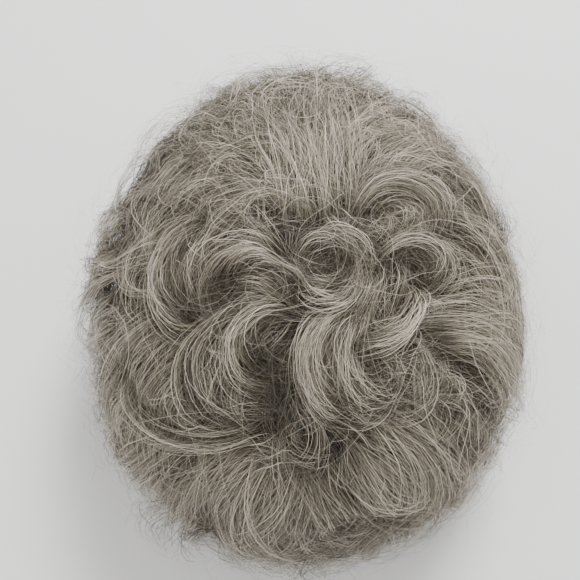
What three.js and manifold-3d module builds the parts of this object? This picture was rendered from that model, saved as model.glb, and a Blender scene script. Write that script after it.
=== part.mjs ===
// A short curly wig, standing on a table on its own hair ends, in millimetres with +Z up.
// The face side looks along -Y, so the wearer's right is at -X and the wearer's left at +X.
// A net cap is the base. A bed of short hair in five zones covers it, and separate curls and
// waves lie over the bed and make the outer form. The hollow for the head is open below.
import * as THREE from 'three';
import { mergeVertices } from 'three/addons/utils/BufferGeometryUtils.js';
import Module from 'manifold-3d';

const wasm = await Module();
wasm.setup();

// Driving dimensions
const HAIR_HALF_WIDTH = 115; // outer form of the curls, at its widest level
const HAIR_HALF_LENGTH = 135;
const HAIR_TOP = 150; // crown of the curls above the table
const WIDEST_LEVEL = 55; // height of the widest level above the table
const TUCK_DEPTH = 115; // below the widest level the sides close in, as an ellipsoid this deep would
const ROUNDNESS = 2.2; // exponent of the outer form: 2 is an ellipsoid, more is squarer
const CURL_DEPTH = 13; // thickness of the layer of curls over the bed

const CAP_HALF_WIDTH = 76; // for a head of about 560 mm round
const CAP_HALF_LENGTH = 97;
const CAP_TOP = 122;
const CAP_LEVEL = 22; // the cap's widest level, and straight walls below it
const CAP_WALL = 1.5;

const GAP = 0.9; // between the cap, the bed and the curls, which lie face to face
const CURL_GAP = 0.5; // between neighbouring curls
const BED_BEND = 75; // tightest radius of the bed, which the flat floor of a curl spans
const AROUND = 24; // facets round the cap and the bed
const CAP_ROWS = 6;
const BED_ROWS = 5;
const CROWN_ROWS = 4;
const CROWN_EDGE_DEG = 48; // the crown zone ends at this slope above the widest level
const ZONE_GAP_DEG = 0.3; // half the gap between two zones of the bed

const LOCK_STEP = 25; // most distance between two sections of a curl
const LOCK_BEND_DEG = 68; // most bend between two sections of a curl
const WALK_STEPS = 6; // small steps between two sections

const HAIR_COLOUR = 0x8d877d;
const BED_COLOUR = 0x5d574e;
const CAP_COLOUR = 0x4a463f;

// Height of the cap's edge above the table, by the angle from the middle of the forehead
const CAP_EDGE = [
  { angle: 0, height: 38 }, // forehead
  { angle: 50, height: 32 }, // temple
  { angle: 78, height: 9 }, // ear tab
  { angle: 106, height: 27 }, // behind the ear
  { angle: 140, height: 13 },
  { angle: 180, height: 8 }, // nape
];

// Zones of the bed below the crown, by the angle round from the wearer's left (+X) towards the back
const BED_ZONES = [
  { name: 'hair_bed_left', from: -45, to: 45 },
  { name: 'hair_bed_nape', from: 45, to: 135 },
  { name: 'hair_bed_right', from: 135, to: 225 },
  { name: 'hair_bed_front', from: 225, to: 315 },
];

// Curls of the top. x and y are where the root lies, seen from above. heading is the way the curl
// sets off, anticlockwise from +X, and turn is how far it bends on its way, anticlockwise too.
// tighten is how much more it bends near its tip: 0 is an even arc.
const TOP_CURLS = [
  { name: 'crown_ring', x: 5, y: 1, heading: 317, length: 64, turn: -190, tighten: 1, width: 14 },
  { name: 'left_crown_hook', x: 44, y: -27, heading: 282, length: 45, turn: -94, tighten: 0, width: 13 },
  { name: 'front_crown_ring', x: -4, y: -41, heading: 158, length: 64, turn: 195, tighten: 0.2, width: 17 },
  { name: 'left_front_sweep', x: 23, y: -38, heading: 175, length: 70, turn: 155, tighten: 0, width: 20 },
  { name: 'right_crown_sweep', x: 0, y: -44, heading: 138, length: 43, turn: 67, tighten: 1.1, width: 22 },
  { name: 'left_crown_ring', x: 25, y: -22, heading: 51, length: 56, turn: -196, tighten: 0.8, width: 18 },
  { name: 'left_front_ring', x: 25, y: -16, heading: 296, length: 81, turn: 107, tighten: 3.6, width: 14 },
  { name: 'right_front_hook', x: -13, y: -85, heading: 202, length: 84, turn: -85, tighten: 0.9, width: 15 },
  { name: 'right_side_hook', x: -40, y: 6, heading: 212, length: 84, turn: 165, tighten: 0.8, width: 16 },
  { name: 'right_front_wave', x: -4, y: -46, heading: 140, length: 98, turn: 205, tighten: 0.15, width: 18 },
  { name: 'right_crown_wave', x: 4, y: -38, heading: 113, length: 70, turn: 180, tighten: 0.6, width: 18 },
  { name: 'right_long_wave', x: -4, y: -10, heading: 106, length: 104, turn: 185, tighten: -0.5, width: 28 },
  { name: 'left_back_ring', x: 18, y: -2, heading: 76, length: 68, turn: -178, tighten: 0.45, width: 22 },
  { name: 'back_fan_middle', x: 4, y: -8, heading: 88, length: 112, turn: 12, tighten: 0, width: 38 },
  { name: 'right_back_wave', x: -5, y: 7, heading: 98, length: 106, turn: 155, tighten: 0, width: 30 },
  { name: 'left_back_wave', x: 28, y: 27, heading: 48, length: 112, turn: -145, tighten: 0.1, width: 32 },
  { name: 'back_fan_left', x: 22, y: 18, heading: 68, length: 108, turn: -45, tighten: 0, width: 38 },
  { name: 'back_fan_right', x: -14, y: 10, heading: 112, length: 108, turn: 40, tighten: 0, width: 38 },
  { name: 'left_side_wave_high', x: 52, y: -8, heading: 5, length: 92, turn: -105, tighten: 0, width: 34 },
  { name: 'left_side_wave_low', x: 28, y: -67, heading: 40, length: 104, turn: -95, tighten: 0, width: 34 },
  { name: 'fringe_middle', x: -2, y: -95, heading: 266, length: 84, turn: -65, tighten: 0.8, width: 30 },
  { name: 'fringe_left', x: 6, y: -93, heading: 290, length: 90, turn: 80, tighten: 0.8, width: 34 },
  { name: 'fringe_right', x: -9, y: -93, heading: 236, length: 92, turn: 95, tighten: 0.7, width: 32 },
  { name: 'fringe_left_wave', x: 14, y: -86, heading: 338, length: 106, turn: -125, tighten: 0.3, width: 34 },
  { name: 'fringe_right_wave', x: -12, y: -92, heading: 203, length: 92, turn: 85, tighten: 0.4, width: 28 },
  { name: 'right_side_fall', x: -46, y: -48, heading: 215, length: 92, turn: 40, tighten: 0, width: 38 },
];

// Curls that hang round the sides and the back, a row at a time. angle goes round from the wearer's left
// (+X) towards the back. height is the root's level, swing is the way a curl sets off from straight
// down, and turn is how far it bends on its way, both anticlockwise seen from outside. A list has one
// value for each curl of its row.
const HANGING_ROWS = [
  { name: 'left_upper_curl', count: 4, first: -44, last: 36, height: 110, swing: -34, length: 74, turn: 85, width: 48 },
  { name: 'nape_upper_curl', count: 4, first: 58, last: 122, height: 112, swing: 30, length: 78, turn: -80, width: 45 },
  { name: 'right_upper_curl', count: 4, first: 144, last: 222, height: 110, swing: 34, length: 74, turn: -85, width: 48 },
  { name: 'left_lower_curl', count: 4, first: -46, last: 40, height: 60, swing: 34, length: 58, turn: -95, width: 54 },
  { name: 'nape_lower_curl', count: 4, first: 62, last: 122, height: 60, swing: -32, length: 58, turn: 90, width: 48 },
  { name: 'right_lower_curl', count: 4, first: 144, last: 228, height: 60, swing: -34, length: 58, turn: 95, width: 54 },
  { name: 'fringe_tip', count: 3, first: 248, last: 294, height: 66, swing: [0, 0, 30], length: 62,
    turn: [95, 95, -110], width: 46 },
];

const degrees = THREE.MathUtils.degToRad;
const hairCentre = new THREE.Vector3(0, 0, WIDEST_LEVEL);

// Half sizes of the hair's form, taken in by inset on every side, on the side of the widest level where z lies
function hairReach(z, inset) {
  const depth = z >= WIDEST_LEVEL ? HAIR_TOP - WIDEST_LEVEL : TUCK_DEPTH;
  return new THREE.Vector3(HAIR_HALF_WIDTH - inset, HAIR_HALF_LENGTH - inset, depth - inset);
}

// Moves a point along its ray from the hair's centre onto the form at that inset
function ontoHair(point, inset) {
  const way = point.clone().sub(hairCentre);
  const reach = hairReach(point.z, inset);
  const share = ['x', 'y', 'z'].reduce((sum, k) => sum + Math.abs(way[k] / reach[k]) ** ROUNDNESS, 0);
  return way.multiplyScalar(share ** (-1 / ROUNDNESS)).add(hairCentre);
}

// Outward normal of the hair's form at a point on it
function hairNormal(point, inset) {
  const way = point.clone().sub(hairCentre);
  const reach = hairReach(point.z, inset);
  const slope = (k) => Math.sign(way[k]) * Math.abs(way[k] / reach[k]) ** (ROUNDNESS - 1) / reach[k];
  return new THREE.Vector3(slope('x'), slope('y'), slope('z')).normalize();
}

// Point of the hair's form in a direction given by its angle round and its slope above the widest level
function hairPoint(angle, slope, inset) {
  const way = new THREE.Vector3(
    HAIR_HALF_WIDTH * Math.cos(angle) * Math.cos(slope),
    HAIR_HALF_LENGTH * Math.sin(angle) * Math.cos(slope),
    (HAIR_TOP - WIDEST_LEVEL) * Math.sin(slope),
  );
  return ontoHair(way.add(hairCentre), inset);
}

// Point of the hair's form at that angle round and height
function hairPointAtHeight(angle, height, inset) {
  const reach = hairReach(height, inset);
  const left = 1 - Math.abs((height - WIDEST_LEVEL) / reach.z) ** ROUNDNESS;
  const way = new THREE.Vector3(reach.x * Math.cos(angle), reach.y * Math.sin(angle), 0);
  const share = Math.abs(way.x / reach.x) ** ROUNDNESS + Math.abs(way.y / reach.y) ** ROUNDNESS;
  way.multiplyScalar((left / share) ** (1 / ROUNDNESS));
  return way.setZ(height);
}

// Point of the head's form, grown by swell, at that height. Its walls are straight below CAP_LEVEL.
function headPoint(angle, height, swell) {
  const rise = Math.max(height - CAP_LEVEL, 0) / (CAP_TOP - CAP_LEVEL + swell);
  const wide = Math.sqrt(Math.max(1 - rise * rise, 0));
  return new THREE.Vector3(
    (CAP_HALF_WIDTH + swell) * wide * Math.cos(angle),
    (CAP_HALF_LENGTH + swell) * wide * Math.sin(angle),
    height,
  );
}

// Point of the head's form at a slope above its widest level, measured on a round profile
function headPointAtSlope(angle, slope, swell) {
  return headPoint(angle, CAP_LEVEL + (CAP_TOP - CAP_LEVEL + swell) * Math.sin(slope), swell);
}

// A list of quads and points as a closed geometry, without the triangles that a pole flattens
function closedGeometry(points, quads) {
  const triangles = quads.flatMap(([a, b, c, d]) => [a, b, c, a, c, d]);
  const raw = new THREE.BufferGeometry().setFromPoints(points).setIndex(triangles);
  const merged = mergeVertices(raw, 1e-3);
  const index = [];
  for (let i = 0; i < merged.index.count; i += 3) {
    const [a, b, c] = [0, 1, 2].map((k) => merged.index.getX(i + k));
    if (a !== b && b !== c && c !== a) index.push(a, b, c);
  }
  return merged.setIndex(index);
}

// A curved slab between two grids of points. grid[i][j] goes round with i, anticlockwise seen from above,
// and up with j. A ring's last column is its first.
function slab(outer, inner, isRing) {
  const columns = outer.length;
  const rows = outer[0].length;
  const points = [...outer.flat(), ...inner.flat()];
  const out = (i, j) => (i % columns) * rows + j;
  const inn = (i, j) => out(i, j) + columns * rows;
  const quads = [];
  const steps = isRing ? columns : columns - 1;
  for (let i = 0; i < steps; i++) {
    for (let j = 0; j < rows - 1; j++) {
      quads.push([out(i, j), out(i + 1, j), out(i + 1, j + 1), out(i, j + 1)]);
      quads.push([inn(i + 1, j), inn(i, j), inn(i, j + 1), inn(i + 1, j + 1)]);
    }
    quads.push([inn(i, 0), inn(i + 1, 0), out(i + 1, 0), out(i, 0)]);
    quads.push([out(i, rows - 1), out(i + 1, rows - 1), inn(i + 1, rows - 1), inn(i, rows - 1)]);
  }
  for (let j = 0; j < rows - 1 && !isRing; j++) {
    const last = columns - 1;
    quads.push([inn(0, j), out(0, j), out(0, j + 1), inn(0, j + 1)]);
    quads.push([out(last, j), inn(last, j), inn(last, j + 1), out(last, j + 1)]);
  }
  return closedGeometry(points, quads);
}

const shares = (steps) => Array.from({ length: steps + 1 }, (_, i) => i / steps);
const ringAngles = shares(AROUND).slice(0, -1).map((share) => share * 2 * Math.PI);

// The cap: a thin net dome with a high forehead edge, ear tabs and a low nape

// Height of the cap's edge at an angle round, eased between the rows of CAP_EDGE
function capEdgeHeight(angle) {
  const fromFront = Math.abs(THREE.MathUtils.euclideanModulo(angle * 180 / Math.PI + 90 + 180, 360) - 180);
  const next = CAP_EDGE.findIndex((row) => row.angle >= fromFront);
  const [low, high] = [CAP_EDGE[Math.max(next - 1, 0)], CAP_EDGE[next]];
  const share = THREE.MathUtils.smoothstep(fromFront, low.angle, Math.max(high.angle, low.angle + 1));
  return THREE.MathUtils.lerp(low.height, high.height, share);
}

function capGeometry() {
  const side = (swell) => ringAngles.map((angle) => {
    const edge = capEdgeHeight(angle);
    const edgeSlope = Math.asin(Math.max(edge - CAP_LEVEL, 0) / (CAP_TOP - CAP_LEVEL));
    const rows = shares(CAP_ROWS).map((share) => {
      const slope = THREE.MathUtils.lerp(edgeSlope, Math.PI / 2, share);
      return headPointAtSlope(angle, slope, swell);
    });
    return [headPoint(angle, edge, swell), ...rows.slice(edge < CAP_LEVEL ? 0 : 1)];
  });
  const level = (grid) => {
    const most = Math.max(...grid.map((column) => column.length));
    return grid.map((column) => column.length === most ? column
      : [column[0], column[0].clone().lerp(column[1], 0.5), ...column.slice(1)]);
  };
  return slab(level(side(0)), level(side(-CAP_WALL)), true);
}

// The bed of short hair: a crown zone on top and four zones below it

function crownBedGeometry() {
  const edge = degrees(CROWN_EDGE_DEG + ZONE_GAP_DEG);
  const column = (angle, place) => shares(CROWN_ROWS).map((share) =>
    place(angle, THREE.MathUtils.lerp(edge, Math.PI / 2, share)));
  const outer = ringAngles.map((angle) => column(angle, (a, s) => hairPoint(a, s, CURL_DEPTH)));
  const inner = ringAngles.map((angle) => column(angle, (a, s) => headPointAtSlope(a, s, GAP)));
  return slab(outer, inner, true);
}

function sideBedGeometry({ from, to }) {
  const top = degrees(CROWN_EDGE_DEG - ZONE_GAP_DEG);
  const steps = Math.round((to - from) * AROUND / 360);
  const angles = shares(steps).map((share) =>
    degrees(THREE.MathUtils.lerp(from + ZONE_GAP_DEG, to - ZONE_GAP_DEG, share)));
  const outer = angles.map((angle) => {
    const edge = hairPoint(angle, top, CURL_DEPTH);
    const heights = shares(BED_ROWS).slice(0, -1).map((share) => share * edge.z);
    return [...heights.map((z) => hairPointAtHeight(angle, z, CURL_DEPTH)), edge];
  });
  const inner = angles.map((angle) => [
    headPoint(angle, 0, GAP),
    ...shares(BED_ROWS - 1).map((share) => headPointAtSlope(angle, share * top, GAP)),
  ]);
  return slab(outer, inner, false);
}

// Curls: tapered locks that walk over the bed and bend as they go

// How wide and how high above the bed a curl is along its length, as shares of its full size
const LOCK_PROFILE = [
  { at: 0, wide: 0.5, lift: 0.3 },
  { at: 0.2, wide: 0.9, lift: 0.8 },
  { at: 0.5, wide: 1, lift: 1 },
  { at: 0.8, wide: 0.85, lift: 0.95 },
  { at: 1, wide: 0.4, lift: 0.5 },
];

// Corners of a curl's section, as shares of its half width and of its height above the bed
const LOCK_SECTION = [
  { across: 0, up: 0 },
  { across: 0.8, up: 0 },
  { across: 1, up: 0.45 },
  { across: 0.45, up: 1 },
  { across: -0.45, up: 1 },
  { across: -1, up: 0.45 },
  { across: -0.8, up: 0 },
];

function lockProfile(share, column) {
  const next = Math.max(LOCK_PROFILE.findIndex((row) => row.at >= share), 1);
  const [low, high] = [LOCK_PROFILE[next - 1], LOCK_PROFILE[next]];
  return THREE.MathUtils.mapLinear(share, low.at, high.at, low[column], high[column]);
}

// The curl's stops: places on the bed, each with the way along and the way across
function walkLock({ start, along, length, turn, tighten }) {
  const place = ontoHair(start, CURL_DEPTH);
  const way = along.clone();
  const stops = [];
  const steps = Math.ceil(Math.max(length / LOCK_STEP, Math.abs(turn) * (1 + Math.abs(tighten)) / LOCK_BEND_DEG)) * WALK_STEPS;
  for (let i = 0; i <= steps; i++) {
    const normal = hairNormal(place, CURL_DEPTH);
    way.projectOnPlane(normal).normalize();
    if (i % WALK_STEPS === 0) {
      stops.push({ place: place.clone(), way: way.clone(), side: normal.cross(way).clone(), share: i / steps });
    }
    const bend = 1 - tighten + 2 * tighten * (i + 0.5) / steps;
    way.applyAxisAngle(hairNormal(place, CURL_DEPTH), degrees(turn) * bend / steps);
    place.copy(ontoHair(place.addScaledVector(way, length / steps), CURL_DEPTH));
  }
  return stops;
}

// One section of a curl, which follows the bed's curve, swell larger on every side
function lockSection({ place, side, share }, width, swell) {
  const halfWidth = width / 2 * lockProfile(share, 'wide') + swell;
  const floor = CURL_GAP + (LOCK_STEP ** 2 + halfWidth ** 2) / (8 * BED_BEND) - swell;
  const height = (CURL_DEPTH - CURL_GAP) * lockProfile(share, 'lift') + swell - floor;
  return LOCK_SECTION.map(({ across, up }) => ontoHair(
    place.clone().addScaledVector(side, halfWidth * across), CURL_DEPTH - floor - height * up));
}

// A curl's closed form through all its sections, swell larger on every side
function lockGeometry(lock, swell) {
  const stops = walkLock(lock);
  stops[0].place.addScaledVector(stops[0].way, -swell);
  stops.at(-1).place.addScaledVector(stops.at(-1).way, swell);
  const corners = LOCK_SECTION.length;
  const last = (stops.length - 1) * corners;
  const quads = stops.slice(1).flatMap((_, i) => LOCK_SECTION.map((_, k) => {
    const next = (k + 1) % corners;
    return [i * corners + k, i * corners + next, (i + 1) * corners + next, (i + 1) * corners + k];
  }));
  for (let k = 1; k < corners - 1; k++) quads.push([0, k + 1, k, k], [last, last + k, last + k + 1, last + k + 1]);
  return closedGeometry(stops.flatMap((stop) => lockSection(stop, lock.width, swell)), quads);
}

function solidOf(geometry) {
  return new wasm.Manifold(new wasm.Mesh({
    numProp: 3,
    vertProperties: geometry.getAttribute('position').array,
    triVerts: new Uint32Array(geometry.index.array),
  }));
}

function geometryOf(solid) {
  const { vertProperties, triVerts } = solid.getMesh();
  return new THREE.BufferGeometry()
    .setAttribute('position', new THREE.BufferAttribute(vertProperties, 3))
    .setIndex(new THREE.BufferAttribute(triVerts, 1));
}

// Where a curl of the top starts, and the way it sets off
function topLock(row) {
  const start = new THREE.Vector3(row.x, row.y, 0);
  const reach = hairReach(HAIR_TOP, CURL_DEPTH);
  const share = Math.abs(row.x / reach.x) ** ROUNDNESS + Math.abs(row.y / reach.y) ** ROUNDNESS;
  start.z = WIDEST_LEVEL + reach.z * (1 - share) ** (1 / ROUNDNESS);
  const heading = degrees(row.heading);
  return { ...row, start, along: new THREE.Vector3(Math.cos(heading), Math.sin(heading), 0) };
}

// A row's value, or the one of its list that belongs to curl i
const ofCurl = (value, i) => (Array.isArray(value) ? value[i] : value);

// The curls of one hanging row
function hangingLocks({ name, count, first, last, height, swing, turn, ...row }) {
  return shares(count - 1).map((share, i) => {
    const start = hairPointAtHeight(degrees(THREE.MathUtils.lerp(first, last, share)), height, CURL_DEPTH);
    const normal = hairNormal(start, CURL_DEPTH);
    const along = new THREE.Vector3(0, 0, -1).projectOnPlane(normal).normalize();
    along.applyAxisAngle(normal, degrees(ofCurl(swing, i)));
    return { ...row, name: `${name}_${i + 1}`, start, along, turn: ofCurl(turn, i), tighten: 0.3 };
  });
}

// Each curl is cut by the curls laid before it, and keeps its largest body
function curlSolids() {
  const laid = [];
  return [...TOP_CURLS.map(topLock), ...HANGING_ROWS.flatMap(hangingLocks)].map((lock) => {
    const cut = laid.reduce((solid, other) => solid.subtract(other), solidOf(lockGeometry(lock, 0)));
    laid.push(solidOf(lockGeometry(lock, CURL_GAP)));
    const bodies = cut.decompose().sort((a, b) => b.volume() - a.volume());
    return { name: lock.name, solid: bodies[0] };
  });
}

function piece(name, geometry, colour) {
  const material = new THREE.MeshStandardMaterial({ color: colour, roughness: 0.6, metalness: 0 });
  const mesh = new THREE.Mesh(geometry, material);
  mesh.name = name;
  return mesh;
}

const wig = new THREE.Group();
wig.add(piece('cap', capGeometry(), CAP_COLOUR));
wig.add(piece('hair_bed_crown', crownBedGeometry(), BED_COLOUR));
BED_ZONES.forEach((zone) => wig.add(piece(zone.name, sideBedGeometry(zone), BED_COLOUR)));
curlSolids().forEach(({ name, solid }) => wig.add(piece(name, geometryOf(solid), HAIR_COLOUR)));

// The origin is the middle of the part's box, on the table
const box = new THREE.Box3().setFromObject(wig);
const middle = box.getCenter(new THREE.Vector3());
wig.position.set(-middle.x, -middle.y, -box.min.z);

export default wig;
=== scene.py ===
import math

import bpy
import numpy as np
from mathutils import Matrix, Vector


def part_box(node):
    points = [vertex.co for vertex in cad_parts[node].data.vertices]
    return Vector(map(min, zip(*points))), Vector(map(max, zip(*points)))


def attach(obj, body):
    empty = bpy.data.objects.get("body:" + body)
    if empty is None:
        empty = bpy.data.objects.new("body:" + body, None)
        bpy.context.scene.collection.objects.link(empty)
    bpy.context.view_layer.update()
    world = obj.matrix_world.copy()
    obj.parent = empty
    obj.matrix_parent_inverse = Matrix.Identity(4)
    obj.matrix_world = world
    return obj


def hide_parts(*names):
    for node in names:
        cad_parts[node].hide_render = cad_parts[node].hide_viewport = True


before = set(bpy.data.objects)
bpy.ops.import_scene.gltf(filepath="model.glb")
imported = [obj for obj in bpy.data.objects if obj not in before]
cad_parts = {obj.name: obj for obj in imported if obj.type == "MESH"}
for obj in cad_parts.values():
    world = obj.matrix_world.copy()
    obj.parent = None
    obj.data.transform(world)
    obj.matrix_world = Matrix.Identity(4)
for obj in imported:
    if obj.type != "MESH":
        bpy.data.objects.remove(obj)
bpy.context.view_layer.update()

# The view: the wig stands by itself on a table, and is seen from above its face side, close by.
# The camera looks steeply down. Its height and its lens are estimates from the wig's outline and curls.
MM = 0.001
view_elevation = math.radians(65)
view_distance = 364 * MM
view_width = math.radians(46)
view_aim = Vector((-7.4 * MM, 2.2 * MM, 60 * MM))

view_back = Vector((0, -math.cos(view_elevation), math.sin(view_elevation)))
camera_data = bpy.data.cameras.new("photo_camera")
camera_data.sensor_fit = "HORIZONTAL"
camera_data.angle = view_width
camera = bpy.data.objects.new("photo_camera", camera_data)
camera.location = view_aim + view_back * view_distance
camera.rotation_euler = view_back.to_track_quat("Z", "Y").to_euler()
bpy.context.scene.collection.objects.link(camera)
bpy.context.scene.camera = camera


# Cap: dark stretch net sewn into a dome, with rows of weft tape that the hair hangs from.
# It has a high forehead edge, ear tabs and a low nape, and only its inside can be seen, from below.
# The CAD solid stays as it is, and its net and tapes are in its material.
class Shade:
    """A shader socket. Sums and products of sockets and numbers add the Math nodes that they need."""

    def __init__(self, tree, socket=None):
        self.tree = tree
        self.socket = socket

    def node(self, kind, settings=None, inputs=None, output=0):
        """Any node: its type, its settings, and the values or links of its sockets."""
        made = self.tree.nodes.new(kind)
        for name, value in (settings or {}).items():
            if name == "stops":
                ramp = made.color_ramp.elements
                while len(ramp) < len(value):
                    ramp.new(0.5)
                for element, (position, colour) in zip(ramp, value):
                    element.position = position
                    element.color = (*colour, 1)
            else:
                setattr(made, name, value)
        for name, value in (inputs or {}).items():
            if isinstance(value, Shade):
                self.tree.links.new(value.socket, made.inputs[name])
            else:
                made.inputs[name].default_value = value
        return Shade(self.tree, made.outputs[output] if made.outputs else None)

    def math(self, operation, first, second=0.0):
        return self.node("ShaderNodeMath", {"operation": operation}, {0: first, 1: second})

    def __add__(self, other):
        return self.math("ADD", self, other)

    __radd__ = __add__

    def __sub__(self, other):
        return self.math("SUBTRACT", self, other)

    def __rsub__(self, other):
        return self.math("SUBTRACT", other, self)

    def __mul__(self, other):
        return self.math("MULTIPLY", self, other)

    __rmul__ = __mul__


def new_material(name):
    """An empty material, and the start of its shading."""
    material = bpy.data.materials.new(name)
    material.use_nodes = True
    material.node_tree.nodes.clear()
    return material, Shade(material.node_tree)


def finish_material(shade, inputs):
    """Gives a material its surface, with those values and links."""
    surface = shade.node("ShaderNodeBsdfPrincipled", {}, inputs)
    shade.node("ShaderNodeOutputMaterial", {}, {"Surface": surface})


net_thread = (0.035, 0.031, 0.027)
net_hole = (0.012, 0.011, 0.010)
weft_tape = (0.060, 0.054, 0.047)
net_pitch = 2.2 * MM
net_thread_from = 0.2
weft_pitch = 14 * MM
weft_tape_from = 0.8
net_relief = 0.4 * MM
net_relief_strength = 0.6

cap_net, shade = new_material("cap_net")
spot = shade.node("ShaderNodeTexCoord", output="Object")
axes = [shade.node("ShaderNodeSeparateXYZ", {}, {0: spot}, output=k) for k in range(3)]
lean = axes[0] + axes[1]
slant = axes[0] - axes[1]
threads = [shade.math("SINE", (way + axes[2]) * (2 * math.pi / net_pitch)) for way in (lean, slant)]
thread = shade.math("MAXIMUM", threads[0], threads[1])
tape = shade.math("GREATER_THAN", shade.math("SINE", axes[2] * (2 * math.pi / weft_pitch)), weft_tape_from)
is_thread = shade.math("GREATER_THAN", thread, net_thread_from)
net_colour = shade.node("ShaderNodeMix", {"data_type": "RGBA"},
                        {0: is_thread, 6: (*net_hole, 1), 7: (*net_thread, 1)}, 2)
cap_colour = shade.node("ShaderNodeMix", {"data_type": "RGBA"},
                        {0: tape, 6: net_colour, 7: (*weft_tape, 1)}, 2)
relief = shade.node("ShaderNodeBump", {},
                    {"Height": thread + tape, "Distance": net_relief, "Strength": net_relief_strength})
finish_material(shade, {"Base Color": cap_colour, "Roughness": 0.8, "Normal": relief})

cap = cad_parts["cap"]
cap.data.materials.clear()
cap.data.materials.append(cap_net)


# Under-hair: the mass of short fibre sewn to the cap, in five zones from the crown to the nape.
# It fills the space between the cap and the curls, and is painted dark, darkest at its roots, as the shade in
# the hollows between them.
# Each zone is a sunk sheet of matted hair, turned in at the rim below, with short crossing fibres over it.
bed_left_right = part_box("hair_bed_left")[1].x
bed_front_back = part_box("hair_bed_nape")[1].y
bed_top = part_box("hair_bed_crown")[1].z
bed_widest = 55 * MM
bed_tuck = 102 * MM
bed_roundness = 2.2
bed_middle = np.array([0, 0, bed_widest])


def bed_reach(places):
    """The bed's half sizes where those places are. It is deeper below its widest level than above."""
    rise = np.where(places[..., 2] >= bed_widest, bed_top - bed_widest, bed_tuck)
    sides = np.broadcast_to(np.array([bed_left_right, bed_front_back]), (*places.shape[:-1], 2))
    return np.concatenate([sides, rise[..., None]], -1)


def onto_bed(places):
    """Those places moved onto the bed's outer form, straight out from its middle."""
    way = places - bed_middle
    share = (np.abs(way / bed_reach(places)) ** bed_roundness).sum(-1, keepdims=True)
    return bed_middle + way * share ** (-1 / bed_roundness)


def unit(vectors):
    """Those vectors at a length of 1."""
    return vectors / np.maximum(np.linalg.norm(vectors, axis=-1, keepdims=True), 1e-12)


def bed_normal(places):
    """The ways straight out of the bed at those places."""
    way = places - bed_middle
    reach = bed_reach(places)
    return unit(np.sign(way) * np.abs(way / reach) ** (bed_roundness - 1) / reach)


def walk(start, way, length, turn, tighten, tip, steps=26):
    """Paths over the bed that set off along way and bend by turn, more near the tip where tighten is more.
    The last third bends by tip as well."""
    place = onto_bed(start)
    trail = []
    for i in range(steps + 1):
        normal = bed_normal(place)
        way = unit(way - (way * normal).sum(-1, keepdims=True) * normal)
        trail.append((place, normal, np.cross(normal, way)))
        share = (i + 0.5) / steps
        bend = ((turn * (1 - tighten + 2 * tighten * share) + tip * 3 * (share > 2 / 3)) / steps)[:, None]
        way = way * np.cos(bend) + np.cross(normal, way) * np.sin(bend)
        place = onto_bed(place + way * (length / steps)[:, None])
    return [np.stack(column, 1) for column in zip(*trail)]


def along(trail, share):
    """What a walked trail holds at those shares of its length."""
    at = np.clip(share, 0, 1) * (trail.shape[1] - 1)
    low = np.minimum(at.astype(int), trail.shape[1] - 2)
    rows = np.arange(len(trail))[:, None]
    part = (at - low)[..., None]
    return trail[rows, low] * (1 - part) + trail[rows, low + 1] * part


fibre_columns = 48
column_edge = 0.2
# The strips of the under-hair's sheet get this middle painted shade.
strip_bright = 0.5
fibre_lowest = 0.3 * MM


def fibre_mesh(name, places, facing, widths, tones, painted_light, material, strips=None, strip_tones=None):
    """A joined mesh of flat fibres, a ribbon through each row of places, and of a sheet's strips where given.
    Its map has a column for each tone, and how far up that column a point sits is its painted light: low
    where shade is painted into the hair, high where it keeps its full tone."""
    way = unit(np.gradient(places, axis=1))
    across = unit(np.cross(way, facing)) * widths[..., None] / 2
    groups = [(np.stack([places - across, places + across], 2), tones, painted_light)]
    if strips is not None:
        groups.append((strips, strip_tones, np.full(strips.shape[:2], strip_bright)))
    corners, quads, spots, used = [], [], [], 0
    for ribbons, shades, painted_levels in groups:
        count, points = ribbons.shape[:2]
        first = used + np.arange(count)[:, None] * points * 2 + np.arange(points - 1)[None] * 2
        quads.append(np.stack([first, first + 1, first + 3, first + 2], -1).reshape(-1, 4))
        column = np.floor(np.clip(shades, 0, 0.999) * fibre_columns)[:, None, None]
        u = (column + np.array([column_edge, 1 - column_edge])) / fibre_columns * np.ones((1, points, 1))
        v = np.clip(painted_levels, 0.01, 0.99)[..., None] * np.ones((1, 1, 2))
        spots.append(np.stack([u, v], -1).reshape(-1, 2))
        corners.append(ribbons.reshape(-1, 3))
        used += count * points * 2
    corners, quads, spots = np.concatenate(corners), np.concatenate(quads), np.concatenate(spots)
    corners[:, 2] = np.maximum(corners[:, 2], fibre_lowest)
    mesh = bpy.data.meshes.new(name)
    mesh.vertices.add(len(corners))
    mesh.vertices.foreach_set("co", corners.reshape(-1).astype(np.float32))
    mesh.loops.add(quads.size)
    mesh.loops.foreach_set("vertex_index", quads.reshape(-1).astype(np.int32))
    mesh.polygons.add(len(quads))
    mesh.polygons.foreach_set("loop_start", np.arange(0, quads.size, 4, dtype=np.int32))
    mesh.polygons.foreach_set("use_smooth", np.ones(len(quads), bool))
    layer = mesh.uv_layers.new(name="OFBake")
    layer.uv.foreach_set("vector", spots[quads.reshape(-1)].reshape(-1).astype(np.float32))
    mesh.update(calc_edges=True)
    mesh.materials.append(material)
    piece = bpy.data.objects.new(name, mesh)
    bpy.context.scene.collection.objects.link(piece)
    return piece


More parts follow.
